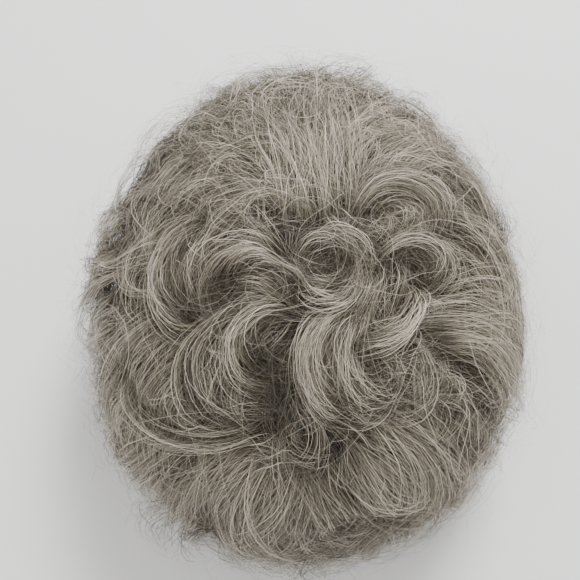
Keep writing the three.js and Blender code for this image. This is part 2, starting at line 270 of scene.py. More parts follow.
def fibre_material(name, tones, painted_shade_ramp, roughness):
    """Fibre whose tone comes from its column of the map. The map's height picks a painted shade from the
    shade ramp, and that shade darkens the tone.
    """
    material, shade = new_material(name)
    spot = shade.node("ShaderNodeUVMap", {"uv_map": "OFBake"})
    column = shade.node("ShaderNodeSeparateXYZ", {}, {0: spot}, output="X")
    share = shade.node("ShaderNodeSeparateXYZ", {}, {0: spot}, output="Y")
    colour = shade.node("ShaderNodeValToRGB", {"stops": tones}, {0: column})
    shading = shade.node("ShaderNodeValToRGB", {"stops": painted_shade_ramp}, {0: share})
    mixed = shade.node("ShaderNodeMix", {"data_type": "RGBA", "blend_type": "MULTIPLY"},
                       {0: 1.0, 6: colour, 7: shading}, 2)
    finish_material(shade, {"Base Color": mixed, "Roughness": roughness, "IOR": 1.5})
    return material


# The under-hair's tones are darker than the curls', as painted shade; the sheet's strips take the darkest of
# them.
under_shaded_tones = [(0, (0.030, 0.023, 0.015)), (0.5, (0.105, 0.085, 0.060)), (1, (0.30, 0.257, 0.195))]
# Painted shade along the under-hair: dark at its roots, full at its tips.
under_painted_shade = [(0, (0.3, 0.3, 0.3)), (0.5, (0.8, 0.8, 0.8)), (1, (1, 1, 1))]
under_hair = fibre_material("under_hair", under_shaded_tones, under_painted_shade, roughness=0.75)

under_zones = [
    {"zone": "crown", "from": 0, "to": 360, "low": 104, "high": 137, "fibres": 1900, "columns": 160},
    {"zone": "left", "from": -45, "to": 45, "low": 0.6, "high": 104, "fibres": 1000, "columns": 50},
    {"zone": "nape", "from": 45, "to": 135, "low": 0.6, "high": 104, "fibres": 1000, "columns": 50},
    {"zone": "right", "from": 135, "to": 225, "low": 0.6, "high": 104, "fibres": 1000, "columns": 50},
    {"zone": "front", "from": 225, "to": 315, "low": 0.6, "high": 104, "fibres": 1000, "columns": 50},
]
under_rows = 14
under_sink = 3 * MM
under_ragged = 1.2 * MM
under_lowest = 0.5 * MM
under_rim = np.array([77.5, 98.5]) * MM
under_rim_low = 0.7 * MM
under_rim_deep = 44 * MM
under_points = 9
whole_turn = 6.28
under_length = (34, 62)
under_bend = 60
under_lift = (-1, 4)
under_sway = 1.2
under_width = 0.4 * MM
under_crown_bright = 0.75
parting_front = -92 * MM
parting_back = 0 * MM
parting_fall = -0.02


def bed_place(angle, height):
    """Points of the bed at those angles round and heights."""
    rise = np.where(height >= bed_widest, bed_top - bed_widest, bed_tuck)
    left = np.maximum(1 - np.abs((height - bed_widest) / rise) ** bed_roundness, 0)
    flat = np.abs(np.cos(angle)) ** bed_roundness + np.abs(np.sin(angle)) ** bed_roundness
    wide = (left / flat) ** (1 / bed_roundness)
    x, y = bed_left_right * np.cos(angle) * wide, bed_front_back * np.sin(angle) * wide
    return np.stack([x, y, height], -1)


def away_from_parting(places):
    """The way that hair lies at a place: away from the parting along the middle of the top, then down."""
    near = places.copy()
    near[:, 0] = 0
    near[:, 1] = np.clip(places[:, 1], parting_front, parting_back)
    way = places - near
    way[:, 2] = parting_fall
    return unit(way)


for row in under_zones:
    rng = np.random.default_rng(len(row["zone"]) * 7 + row["columns"])
    is_crown = row["zone"] == "crown"
    share = np.linspace(0, 1, under_rows)
    height = (row["high"] - (row["high"] - row["low"]) * (share ** 2 if is_crown else share)) * MM
    edge = np.radians(np.linspace(row["from"], row["to"], row["columns"] + 1))
    corner, level = np.meshgrid(edge, height)
    sheet = bed_place(corner, level)
    ragged = rng.uniform(0, under_ragged, row["columns"] + 1)[None, :, None]
    sheet = sheet - bed_normal(sheet) * (under_sink + ragged)
    sheet[..., 2] = np.maximum(sheet[..., 2], under_lowest)
    if not is_crown:
        rim_low = np.full(len(edge), under_rim_low)
        inner = np.stack([under_rim[0] * np.cos(edge), under_rim[1] * np.sin(edge), rim_low], -1)
        sheet = np.concatenate([sheet, inner[None], (inner + np.array([0, 0, under_rim_deep]))[None]])
    strips = np.stack([sheet[:, :-1], sheet[:, 1:]], 2).transpose(1, 0, 2, 3)

    count = row["fibres"]
    angle = np.radians(rng.uniform(row["from"], row["to"], count))
    height = rng.uniform(row["low"] + 6, row["high"], count) * MM
    if is_crown:
        height = (row["high"] - (row["high"] - row["low"]) * rng.random(count) ** 1.6) * MM
    start = bed_place(angle, height)
    length = rng.uniform(*under_length, count) * MM
    turn = np.radians(rng.normal(0, under_bend, count))
    tighten, tip = np.full(count, 0.3), np.zeros(count)
    trail = walk(start, away_from_parting(start), length, turn, tighten, tip, steps=under_points)
    share = np.linspace(0, 1, under_points)[None] * np.ones((count, 1))
    place, normal, side = (along(column, share) for column in trail)
    lift = rng.uniform(*under_lift, count)[:, None] * MM * np.interp(share, [0, 0.4, 1], [0.2, 1, 0.7])
    sway = np.sin(share * rng.uniform(4, 9, count)[:, None] + rng.uniform(0, whole_turn, count)[:, None])
    spots = place + normal * lift[..., None] + side * (sway * under_sway * MM)[..., None]
    facing = normal + side * rng.normal(0, 0.5, count)[:, None, None]
    widths = under_width * np.interp(share, [0, 0.2, 0.8, 1], [0.7, 1, 0.9, 0.3])
    tones = rng.uniform(0.05, 0.95, count)
    # Painted shade: the under-hair is painted darker towards its roots, and at the crown it stays darker all
    # along.
    painted_light = share * (under_crown_bright if is_crown else 1)
    under = fibre_mesh("under_hair_" + row["zone"], spots, facing, widths, tones, painted_light, under_hair,
                       strips, rng.uniform(0, 0.35, len(strips)))
    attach(under, "root")
    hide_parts("hair_bed_" + row["zone"])


# Curls of the crown: rings, hooks and sweeps of grey synthetic fibre, silver and dark mixed, set by heat.
# Each springs from the parting, bends over its neighbours and ends in a tucked tip.
# A curl is laid in small wisps, and the hollows are where the wisps sink between the curls and are painted
# dark as shade.
curl_tones = [(0, (0.036, 0.030, 0.022)), (0.2, (0.10, 0.085, 0.063)), (0.45, (0.243, 0.207, 0.157)),
              (0.75, (0.415, 0.362, 0.281)), (1, (0.86, 0.78, 0.645))]
# Painted shade of the curls: hair that lies deep under other hair is painted dark, and the outer hair keeps
# its tone.
curl_painted_shade = [(0, (0.11, 0.095, 0.076)), (0.3, (0.31, 0.292, 0.264)), (0.65, (0.83, 0.82, 0.80)),
                   (1, (1, 1, 1))]
curl_hair = fibre_material("curl_hair", curl_tones, curl_painted_shade, roughness=0.4)

# A row is one curl, in millimetres and degrees: where it starts and heads, seen from above, and how it bends.
# It lifts off the bed, and on its inner side it is lower by its bowl and painted darker, as shade, by its
# fade.
crown_curls = [
    {"node": "crown_ring", "x": 5, "y": 1, "heading": 317, "length": 64, "turn": -190, "tighten": 1,
     "width": 7, "lift": 12, "bowl": 4, "inset": 2, "fade": 0.75, "tone": 0.78, "dense": 0.8},
    {"node": "left_crown_hook", "x": 44, "y": -27, "heading": 282, "length": 45, "turn": -94, "tighten": 0,
     "width": 4, "lift": 13, "bowl": 2, "inset": 1, "fade": 0.3, "tone": 0.82, "dense": 2.0},
    {"node": "front_crown_ring", "x": -4, "y": -41, "heading": 158, "length": 64, "turn": 195, "tighten": 0.2,
     "width": 8, "lift": 11, "bowl": 5, "inset": 3.5, "fade": 0.7, "tone": 0.74, "dense": -0.1},
    {"node": "left_front_sweep", "x": 23, "y": -38, "heading": 175, "length": 70, "turn": 155, "tighten": 0,
     "width": 8, "lift": 12, "bowl": 4, "inset": 3.5, "fade": 0.55, "tone": 0.7},
    {"node": "right_crown_sweep", "x": 0, "y": -44, "heading": 138, "length": 43, "turn": 67, "tighten": 1.1,
     "width": 5, "lift": 12, "bowl": 4, "inset": 1.5, "fade": 0.6, "tone": 0.74, "dense": 1.0},
    {"node": "left_crown_ring", "x": 25, "y": -22, "heading": 51, "length": 56, "turn": -196, "tighten": 0.8,
     "width": 8, "lift": 10, "bowl": 5, "inset": 3, "fade": 0.6, "tone": 0.64},
    {"node": "left_front_ring", "x": 25, "y": -16, "heading": 296, "length": 81, "turn": 107, "tighten": 3.6,
     "width": 6, "lift": 12, "bowl": 3, "inset": 2, "fade": 0.4, "tone": 0.68},
    {"node": "right_front_hook", "x": -13, "y": -85, "heading": 202, "length": 84, "turn": -85,
     "tighten": 0.9, "width": 3.5, "lift": 10, "bowl": 4, "inset": 1, "fade": 0.4, "tone": 0.66,
     "dense": -0.45},
    {"node": "right_front_wave", "x": -4, "y": -46, "heading": 140, "length": 98, "turn": 205,
     "tighten": 0.15, "width": 5, "lift": 10, "bowl": 5, "inset": 2, "fade": 0.8, "tone": 0.54,
     "dense": -0.4},
    {"node": "right_crown_wave", "x": 4, "y": -38, "heading": 113, "length": 70, "turn": 180, "tighten": 0.6,
     "width": 7, "lift": 11, "bowl": 5, "inset": 2.5, "fade": 0.5, "tone": 0.7},
    {"node": "right_side_hook", "x": -40, "y": 6, "heading": 212, "length": 84, "turn": 165, "tighten": 0.8,
     "width": 6, "lift": 10, "bowl": 5, "inset": 2, "fade": 0.7, "tone": 0.68},
    {"node": "left_back_ring", "x": 18, "y": -2, "heading": 76, "length": 68, "turn": -178, "tighten": 0.45,
     "width": 11, "lift": 10, "bowl": 5, "inset": 4, "fade": 0.5, "tone": 0.62},
]
# Hollows, in millimetres: where the wisps sink, and by deep how far they sink and how much darker they are
# painted, as shade.
hollows = [
    {"x": -49, "y": -40, "reach": 10, "deep": 0.88}, {"x": -33, "y": -30, "reach": 9, "deep": 0.92},
    {"x": -10, "y": -19, "reach": 7, "deep": 0.75}, {"x": 12, "y": -24, "reach": 7, "deep": 0.92},
    {"x": -17, "y": -62, "reach": 9, "deep": 0.92}, {"x": -12, "y": -73, "reach": 9, "deep": 0.92},
    {"x": -10, "y": -84, "reach": 7, "deep": 0.7}, {"x": 24, "y": -65, "reach": 6, "deep": 0.6},
    {"x": 36, "y": -39, "reach": 5, "deep": 0.4}, {"x": 53, "y": -50, "reach": 9, "deep": 0.92},
    {"x": 15, "y": -105, "reach": 6, "deep": 0.6}, {"x": -40, "y": -112, "reach": 7, "deep": 0.6},
    {"x": -31, "y": -3, "reach": 6, "deep": 0.4},
]


def top_start(row):
    """Where a curl of the top starts on the bed, and the way it sets off."""
    flat = np.array([row["x"], row["y"]]) * MM
    share = (np.abs(flat / np.array([bed_left_right, bed_front_back])) ** bed_roundness).sum()
    height = bed_widest + (bed_top - bed_widest) * (1 - share) ** (1 / bed_roundness)
    heading = math.radians(row["heading"])
    return np.array([*flat, height]), np.array([math.cos(heading), math.sin(heading), 0.0])


def swung(way, normal, angle):
    """Those ways turned about the bed's normal."""
    way = unit(way - (way * normal).sum(-1, keepdims=True) * normal)
    return way * np.cos(angle)[:, None] + np.cross(normal, way) * np.sin(angle)[:, None]


laid_curls = []
# A curl presses the hair under it and just outside it down, and paints it darker as its shadow: how much, and
# how far out.
press_usual = 0.7
press_reach = 7 * MM


def pressed_and_shaded(places, order):
    """How far each point is pressed under the curls that lie over it, 0 to 1; it is lowered and painted
    darker, as their shadow, by as much. Curls laid earlier lie over.
    """
    pressed = np.zeros(places.shape[:2])
    for k, (path, half, strength) in enumerate(laid_curls):
        later = np.nonzero(order > k)[0]
        gap = np.full((len(later), places.shape[1]), np.inf)
        for point in path:
            gap = np.minimum(gap, np.linalg.norm(places[later] - point, axis=-1))
        pressed[later] = np.maximum(pressed[later], np.interp(gap, [half, half + press_reach], [strength, 0]))
    return pressed


# A wisp may draw the rim of its ring or lie low, and a share of the wisps starts at the curl's root.
row_values = ("length", "turn", "tighten", "width", "lift", "bowl", "inset", "fade", "tone", "flick", "root",
              "dense", "patch", "loop", "short")
fewest_wisps = 3
root_share = 0.4
root_join = 0.04
latest_join = 0.6
rim_share = 0.24
rim_steady = 0.75
rim_chance = 1.2
# Rim wisps are painted lighter by this much: a painted highlight along a ring's edge.
rim_highlight = 0.1
low_share = 0.3
low_spread = 1.2
low_lift = 0.25
wisp_half_width = (0.5, 2.0)
wisp_rise = (-3, 1.5)
wisp_flick = (0, 1.4)
wisp_tone_spread = 0.11
wisp_twist_spread = 0.9
sway_cycles = (0.6, 2.0)
sway_size = 0.9


def lay_wisps(rng, rows, patch, wild):
    """The wisps of those curls, one for each patch of a curl, and the chance that a fibre is in each. A wisp
    joins its curl somewhere along it and follows it. Some draw the rim of a ring, painted lighter as a
    highlight, and some lie low in the shade."""
    begins = [row["start"] if "start" in row else top_start(row) for row in rows]
    start, way = (np.array(column) for column in zip(*begins))
    value = {name: np.array([row.get(name, 0) for row in rows], float) for name in row_values}
    bend = np.radians(value["turn"])
    guide = walk(start, way, value["length"] * MM, bend, value["tighten"], 0 * bend)
    first_order = len(laid_curls)
    for i, row in enumerate(rows):
        if "inset" in row:
            path = guide[0][i] + guide[2][i] * row["inset"] * np.sign(row["turn"]) * MM
            laid_curls.append((path[3::2], row["width"] / 2 * MM, row.get("press", press_usual)))

    area = value["width"] * value["length"]
    has_patch = value["patch"] > 0
    wisps = np.round(area / np.where(has_patch, value["patch"], patch))
    wisps = np.where(has_patch, wisps, np.maximum(wisps, fewest_wisps)).astype(int)
    curl = np.repeat(np.arange(len(rows)), wisps)
    count = len(curl)
    own = {name: column[curl] for name, column in value.items()}
    join = np.where(rng.random(count) < root_share, root_join, latest_join) * rng.random(count)
    ring = own["inset"] > 0
    rim = ring & (rng.random(count) < rim_share)
    low = (rng.random(count) < low_share) & ~rim
    inner = rng.random(count) ** (1 + own["fade"]) * np.where(low, low_spread, 1)
    inner = np.where(ring, rng.uniform(0.1, 1.4, count), inner)
    inner = np.where(rim, rng.uniform(-0.6, 1.8, count) / own["width"], inner)
    steady = np.where(rim, rim_steady, 1)
    middle = ((inner - 0.5) * own["width"] + own["inset"]) * np.sign(own["turn"])
    rest = (1 - join) * (1 + own["tighten"] * join)
    turn = np.radians(own["turn"]) * rest * rng.normal(1, 0.08 * wild, count)
    tighten = own["tighten"] * (1 - join) / (1 + own["tighten"] * join)
    tip = np.radians(rng.normal(0, 20 * wild, count)) * steady
    swing = np.radians(rng.normal(0, 5 * wild, count)) * steady
    run = own["length"] * (1 - join) * rng.normal(1, 0.08 * wild, count)
    half = rng.uniform(*wisp_half_width, count) * steady
    lift = own["lift"] - own["bowl"] * inner + rng.uniform(*wisp_rise, count) * steady + rim
    lift = np.where(low, lift * low_lift, lift)
    flick = own["flick"] * rng.uniform(*wisp_flick, count)
    tone = own["tone"] + rng.normal(0, wisp_tone_spread, count) + rim_highlight * rim
    twist = rng.normal(0, wisp_twist_spread, count)
    sway = [(rng.uniform(*sway_cycles, count), rng.uniform(0, whole_turn, count),
             rng.uniform(0, sway_size * wild, count)) for _ in range(2)]
    root, normal, side = (along(column[curl], join[:, None])[:, 0] for column in guide)
    root = root + side * (middle * MM)[:, None]
    ahead = swung(np.cross(side, normal), normal, swing)
    # Painted shade on a curl's inner side: its wisps there are painted darker, all but the rim wisps.
    shaded = own["fade"] * np.where(ring, ~rim * (0.35 + 0.5 * inner), inner).clip(0, 1)
    crowd = (area / patch / wisps)[curl]
    chance = run * half ** 0.7 * (1 + own["dense"]) * crowd * np.where(rim, rim_chance, 1)
    laid = {"order": first_order + curl, "place": root, "normal": normal, "side": side, "ahead": ahead,
            "middle": middle, "steady": steady, "turn": turn, "tighten": tighten, "tip": tip, "run": run,
            "half": half, "lift": lift, "flick": flick, "tone": tone, "twist": twist, "shaded": shaded,
            "sway_across": np.stack(sway[0], -1), "sway_up": np.stack(sway[1], -1),
            "full_lift": own["lift"], "root": own["root"], "loop": own["loop"], "short": own["short"]}
    return laid, chance


def wavy(share, cycles, phase):
    """Waves along fibres, at those shares of their length."""
    return np.sin(share * cycles[:, None] * whole_turn + phase[:, None])


# Three kinds of hair: broad dark body hair that lies deep, bright silver hair on top, and fine mixed hair.
body_share = 0.28
body_sink = 1.2
body_wide = 1.9
body_tone = (-0.16, 0.12)
silver_share = 0.18
silver_rise = 0.8
silver_wide = 1.4
silver_tone = (0.85, 0.99)
fine_width = (0.08, 0.16)
fine_tone = (0.02, 0.31)
stray_narrow = 0.35
apart_share = 0.6
apart_wide = 1.9
apart_close = 0.4
root_scatter = 0.8 * MM
shortest = 15
wave_cycles = (0.6, 2.6)
wave_size = 0.4
stray_over_curls = 0.6
stray_over_hollows = 0.3
lowest_lift = -1
highest_lift = 26
lower_on_top = 7


def comb(rng, rows, fibres, points, patch, wild, loose):
    """Fibres of those curls: where they run, which way they face, how wide they are, their tones, and how far
    they are out of the shade. Each follows its wisp, and a share of them, loose, strays from it."""
    wisps, chance = lay_wisps(rng, rows, patch, wild)
    which = rng.choice(len(chance), fibres, p=chance / chance.sum())
    wisp = {name: column[which] for name, column in wisps.items()}
    stray = (rng.random(fibres) < loose).astype(float)
    body = (rng.random(fibres) < body_share) & (stray == 0)
    silver = (rng.random(fibres) < silver_share) & ~body & (stray == 0)
    angle = rng.uniform(-1.4, 1.4, fibres)
    depth = 1 - 0.6 * rng.random(fibres) ** 2
    apart = rng.normal(0, 1, fibres)
    apart = apart * np.where(rng.random(fibres) < apart_share, apart_wide, apart_close) * wisp["steady"]
    offset = np.sin(angle) * depth * wisp["half"] + apart
    start = wisp["place"] + wisp["side"] * (offset * 0.7 * MM)[:, None]
    start = start + rng.normal(0, root_scatter, (fibres, 3))
    way = swung(wisp["ahead"], wisp["normal"], np.radians(rng.normal(0, 1.5 + 1.5 * wild + 14 * stray)))
    turn = wisp["turn"] * rng.normal(1, 0.02 + 0.02 * wild + 0.3 * stray)
    turn = turn + np.radians(rng.normal(0, 2 + 2 * wild, fibres))
    tip = wisp["tip"] + np.radians(rng.normal(0, 8 + 40 * stray))
    run = wisp["run"] - (wisp["middle"] + offset) * wisp["turn"]
    length = np.maximum(run, shortest) * rng.uniform(0.75, 1.08, fibres) * (1 - wisp["short"]) * MM
    trail = walk(start, way, length, turn, wisp["tighten"], tip)

    share = np.linspace(0, 1, points)[None] * np.ones((fibres, 1))
    share = share + (1 - share) * 0.12 * rng.random(fibres)[:, None]
    place, normal, side = (along(column, share) for column in trail)
    angle = angle[:, None] + wisp["twist"][:, None] * (share - 0.5)
    section = (wisp["half"] * depth)[:, None] * np.interp(share, [0, 0.25, 0.7, 1], [0.7, 1.1, 1, 0.6])
    high = np.interp(share, [0, 0.24, 0.75, 1], [0.1, 1, 1, 0.5])
    across = np.sin(angle) * section * 0.5
    up = (wisp["lift"][:, None] + np.cos(angle) * section) * high
    cycles, phase, size = wisp["sway_across"].T
    across = across + wavy(share, cycles, phase) * size[:, None]
    cycles, phase, size = wisp["sway_up"].T
    up = up + wavy(share, cycles, phase) * size[:, None] * 0.7
    growth = (0.3 + share) * (1 + 2 * stray[:, None])
    for k in range(4):
        wave = wavy(share, rng.uniform(*wave_cycles, fibres), rng.uniform(0, whole_turn, fibres))
        wave = wave * np.abs(rng.normal(0, wave_size, fibres))[:, None] * growth
        across, up = (across + wave, up) if k % 2 else (across, up + wave)

    # Painted shade: a fibre is painted darker the deeper it lies below its curl's full lift, no darker than
    # the curl's root value, and darker again on the curl's inner side.
    painted_light = np.maximum(up / (wisp["full_lift"] + 0.5)[:, None], wisp["root"][:, None])
    painted_light = painted_light * (1 - wisp["shaded"])[:, None]
    up = up + (silver_rise * silver - body_sink * body)[:, None] * high
    # Painted shadow: points under and just outside the curls laid earlier are pressed down and painted
    # darker, strays less so.
    pressed = pressed_and_shaded(place, wisp["order"]) * (1 - stray_over_curls * stray[:, None])
    up, painted_light = up * (1 - pressed), painted_light * (1 - pressed)
    # Painted shade in the hollows: fibres there sink and are painted darker.
    for row in hollows:
        away = np.linalg.norm(place[..., :2] - np.array([row["x"], row["y"]]) * MM, axis=-1)
        sunk = np.exp(-(away / (row["reach"] * MM)) ** 2) * row["deep"]
        sunk = sunk * (1 - stray_over_hollows * stray[:, None])
        up, painted_light = up * (1 - sunk), painted_light * (1 - sunk)
    stray_lift = stray * rng.uniform(1, 5 + 3 * wild, fibres)
    up = up + stray_lift[:, None] * share ** 1.5 + wisp["flick"][:, None] * share ** 2
    curly = wisp["loop"]
    loop = np.where(curly > 0, rng.uniform(4, 6.5, fibres), rng.uniform(2, 6, fibres))[:, None] * share
    loop_size = (stray * rng.uniform(0.5, 4, fibres) + curly * rng.uniform(0.7, 1.2, fibres))[:, None] * share
    across, up = across + np.sin(loop) * loop_size, up + (1 - np.cos(loop)) * loop_size
    up = np.clip(up, lowest_lift, highest_lift - lower_on_top * normal[..., 2])
    spots = place + side * across[..., None] * MM + normal * up[..., None] * MM

    roll = angle * 0.8 + rng.normal(0, 0.5, fibres)[:, None]
    facing = normal * np.cos(roll)[..., None] + side * np.sin(roll)[..., None]
    taper = np.interp(np.linspace(0, 1, points), [0, 0.1, 0.7, 1], [0.8, 1, 0.9, 0.3])
    wide = np.where(body, body_wide, np.where(silver, silver_wide, 1))
    widths = rng.uniform(*fine_width, fibres) * wide * (1 - stray_narrow * stray)
    widths = widths[:, None] * taper[None] * MM
    tones = wisp["tone"] + np.where(body, rng.normal(*body_tone, fibres), rng.normal(*fine_tone, fibres))
    tones = np.where(silver, rng.uniform(*silver_tone, fibres), tones)
    return spots, facing, widths, np.clip(tones, 0, 0.99), painted_light


def loose_wisps(rng, count, corner, opposite, spread, lift, tone):
    """Small curls strewn over the top between two corners, that set off outwards, give or take the spread."""
    rows = []
    while len(rows) < count:
        x, y = rng.uniform(corner, opposite)
        if math.hypot(x / 100, y / 120) < 0.9:
            outwards = math.degrees(math.atan2(y + 20, x))
            rows.append({"x": x, "y": y, "heading": outwards + rng.normal(0, spread),
                         "length": rng.uniform(32, 62), "turn": rng.choice([-1, 1]) * rng.uniform(50, 220),
                         "tighten": rng.uniform(-0.5, 1), "width": 3.5, "lift": lift + rng.uniform(-2, 2),
                         "tone": tone, "root": 0.3, "fade": 0.3, "patch": 10})
    return rows


crown_eye = [
    {"x": -6, "y": -25, "heading": 97, "length": 52, "turn": -190, "tighten": 0, "width": 5, "lift": 10,
     "bowl": 4, "inset": 1.5, "fade": 0.6, "tone": 0.66, "patch": 10},
    {"x": 1, "y": -28, "heading": 80, "length": 40, "turn": -260, "tighten": 0.3, "width": 4, "lift": 7,
     "bowl": 3, "inset": 1, "fade": 0.6, "tone": 0.56, "patch": 10},
]
rng = np.random.default_rng(11)
crown_wisps = loose_wisps(rng, 56, (-62, -100), (62, 30), 120, 7, 0.46)
crown_wisps += loose_wisps(rng, 16, (-34, -14), (42, 14), 120, 8, 0.52)
crown_wisps += loose_wisps(rng, 20, (-34, -100), (34, -76), 120, 4, 0.44)
crown_wisps += loose_wisps(rng, 16, (-16, -98), (14, -80), 120, 3, 0.42)
crown_rows = crown_eye + crown_curls + crown_wisps
crown_fibres = comb(rng, crown_rows, fibres=8900, points=12, patch=14, wild=0.45, loose=0.24)
crown = fibre_mesh("crown_curls", *crown_fibres, curl_hair)
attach(crown, "root")
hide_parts(*(row["node"] for row in crown_curls))


# Waves of the top: longer, looser locks of the same fibre, that run from the crown to the back and the sides.
# They are sewn round the crown, combed out in a short fan at the back, and set in loose ringlets at its edge.
top_waves = [
    {"node": "right_long_wave", "x": -4, "y": -10, "heading": 106, "length": 104, "turn": 185,
     "tighten": -0.5, "width": 28, "lift": 9, "bowl": 5, "fade": 0.4, "tone": 0.67},
    {"node": "right_back_wave", "x": -5, "y": 7, "heading": 98, "length": 106, "turn": 155, "tighten": 0,
     "width": 34, "lift": 4, "bowl": 7, "fade": 0.4, "tone": 0.66},
    {"node": "left_back_wave", "x": 28, "y": 27, "heading": 48, "length": 112, "turn": -145, "tighten": 0.1,
     "width": 34, "lift": 4, "bowl": 7, "fade": 0.4, "tone": 0.62},
    {"node": "back_fan_middle", "x": 4, "y": -8, "heading": 88, "length": 112, "turn": 12, "tighten": 0,
     "width": 40, "lift": 9, "bowl": 0, "tone": 0.75, "flick": 13, "root": 0.5, "dense": -0.3, "short": 0.43},
    {"node": "back_fan_left", "x": 22, "y": 18, "heading": 68, "length": 108, "turn": -45, "tighten": 0,
     "width": 40, "lift": 7, "bowl": 3, "tone": 0.71, "flick": 3, "root": 0.5, "dense": -0.3, "short": 0.43},
    {"node": "back_fan_right", "x": -14, "y": 10, "heading": 112, "length": 108, "turn": 40, "tighten": 0,
     "width": 40, "lift": 7, "bowl": 3, "tone": 0.71, "flick": 4, "root": 0.5, "dense": -0.3, "short": 0.43},
    {"node": "left_side_wave_high", "x": 52, "y": -8, "heading": 5, "length": 92, "turn": -105, "tighten": 0,
     "width": 38, "lift": 9, "bowl": 5, "fade": 0.3, "tone": 0.8},
    {"node": "left_side_wave_low", "x": 28, "y": -67, "heading": 40, "length": 104, "turn": -95, "tighten": 0,
     "width": 38, "lift": 9, "bowl": 5, "fade": 0.3, "tone": 0.8},
    {"node": "right_side_fall", "x": -46, "y": -48, "heading": 215, "length": 92, "turn": 40, "tighten": 0,
     "width": 40, "lift": 8, "bowl": 3, "fade": 0.2, "tone": 0.7},
]
back_ringlets = [
    {"x": 2, "y": 90, "heading": 75, "length": 46, "turn": -220, "tighten": 0.3, "width": 7, "lift": 16},
    {"x": 16, "y": 94, "heading": 115, "length": 44, "turn": 210, "tighten": 0.2, "width": 7, "lift": 16},
    {"x": 42, "y": 92, "heading": 60, "length": 46, "turn": -250, "tighten": 0.2, "width": 7, "lift": 12},
    {"x": -33, "y": 52, "heading": 110, "length": 52, "turn": 200, "tighten": 0.3, "width": 7, "lift": 13},
    {"x": -50, "y": 56, "heading": 135, "length": 52, "turn": 190, "tighten": 0.3, "width": 7, "lift": 10},
    {"x": 60, "y": 66, "heading": 30, "length": 50, "turn": -230, "tighten": 0.3, "width": 7, "lift": 10},
]
rng = np.random.default_rng(12)
back_ringlets += [{**row, "turn": row["turn"] * 1.6, "width": 6}
                  for row in loose_wisps(rng, 18, (-64, 52), (64, 108), 90, 11, 0.72)]
ringlet_set = {"bowl": 4, "inset": 2, "fade": 0.25, "tone": 0.74, "root": 0.4, "patch": 10, "press": 0.4}
back_ringlets = [{**row, **ringlet_set} for row in back_ringlets]
wave_wisps = loose_wisps(rng, 70, (-95, -70), (95, 100), 60, 9, 0.6)
wave_wisps += loose_wisps(rng, 22, (-34, 5), (44, 75), 30, 12, 0.7)
wave_wisps += loose_wisps(rng, 66, (-66, 50), (66, 112), 110, 11, 0.73)
wave_rows = back_ringlets + top_waves + wave_wisps
wave_fibres = comb(rng, wave_rows, fibres=8200, points=13, patch=50, wild=1.6, loose=0.12)
waves = fibre_mesh("top_waves", *wave_fibres, curl_hair)
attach(waves, "root")
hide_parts(*(row["node"] for row in top_waves))


# Fringe: locks of the same fibre that fall from the front of the parting over the forehead, and turn under.
# They are sewn to the front of the cap in two layers, and small ringlets and loose tufts lie over them.
fringe_locks = [
    {"node": "fringe_middle", "x": -2, "y": -95, "heading": 266, "length": 84, "turn": -65, "tighten": 0.8,
     "width": 24, "lift": 9, "bowl": 3, "tone": 0.57, "root": 0.32},
    {"node": "fringe_left", "x": 6, "y": -93, "heading": 290, "length": 90, "turn": 80, "tighten": 0.8,
     "width": 28, "lift": 10, "bowl": 3, "tone": 0.57, "root": 0.32},
    {"node": "fringe_right", "x": -9, "y": -93, "heading": 236, "length": 92, "turn": 95, "tighten": 0.7,
     "width": 30, "lift": 10, "bowl": 4, "tone": 0.57, "root": 0.32},
    {"node": "fringe_left_wave", "x": 14, "y": -86, "heading": 338, "length": 106, "turn": -125,
     "tighten": 0.3, "width": 34, "lift": 10, "bowl": 5, "tone": 0.57, "root": 0.32},
    {"node": "fringe_right_wave", "x": -12, "y": -92, "heading": 203, "length": 92, "turn": 85,
     "tighten": 0.4, "width": 28, "lift": 9, "bowl": 4, "tone": 0.57, "root": 0.32},
]
fringe_tips = {"name": "fringe_tip", "count": 3, "first": 248, "last": 294, "height": 66,
               "swings": (0, 0, 30), "length": 62, "turns": (95, 95, -110), "width": 46, "lifts": (10, 9, 10)}


def side_start(angle, height, swing):
    """A root round the head, and the way a curl sets off from it when it swings from straight down."""
    begin = bed_place(np.array(math.radians(angle)), np.array(height * MM))
    normal = bed_normal(begin)
    down = np.array([0, 0, -1.0])
    down = unit(down - (down @ normal) * normal)
    swing = math.radians(swing)
    return begin, down * math.cos(swing) + np.cross(normal, down) * math.sin(swing)


def hanging_curls(row):
    """One row of curls that hang round the head, each at its own distance out."""
    curls = []
    for i in range(row["count"]):
        angle = row["first"] + (row["last"] - row["first"]) * i / (row["count"] - 1)
        lift = row["lifts"][i]
        curls.append({"node": f"{row['name']}_{i + 1}",
                      "start": side_start(angle, row["height"], row["swings"][i]),
                      "length": row["length"], "turn": row["turns"][i], "tighten": 0.3, "width": row["width"],
                      "lift": lift, "bowl": 4, "tone": 0.69, "flick": max(lift - 5, 0), "root": 0.25})
    return curls


outline_loops = [
    {"angle": 171, "height": 83}, {"angle": 197, "height": 77}, {"angle": 42, "height": 88},
    {"angle": 21, "height": 74}, {"angle": -16, "height": 54, "flick": 9},
    {"angle": -32, "height": 71, "flick": 9}, {"angle": -43, "height": 54},
    {"angle": 240, "height": 34, "flick": 17}, {"angle": 246, "height": 28, "flick": 16},
    {"angle": 250, "height": 36, "flick": 13}, {"angle": 257, "height": 46}, {"angle": 285, "height": 46},
    {"angle": 84, "height": 102}, {"angle": 112, "height": 88}, {"angle": 96, "height": 98},
]
loop_curls = 3
loop_flick = 4
loop_dense = 1.2
back_corner = 0.35


def corner_lift(angle):
    """How much of a curl's lift is left at that angle. The hair lies flatter at the two back corners."""
    flat = back_corner
    return np.interp(angle, [16, 38, 60, 82, 108, 124, 142, 166], [1, flat, flat, 1, 1, flat, flat, 1])


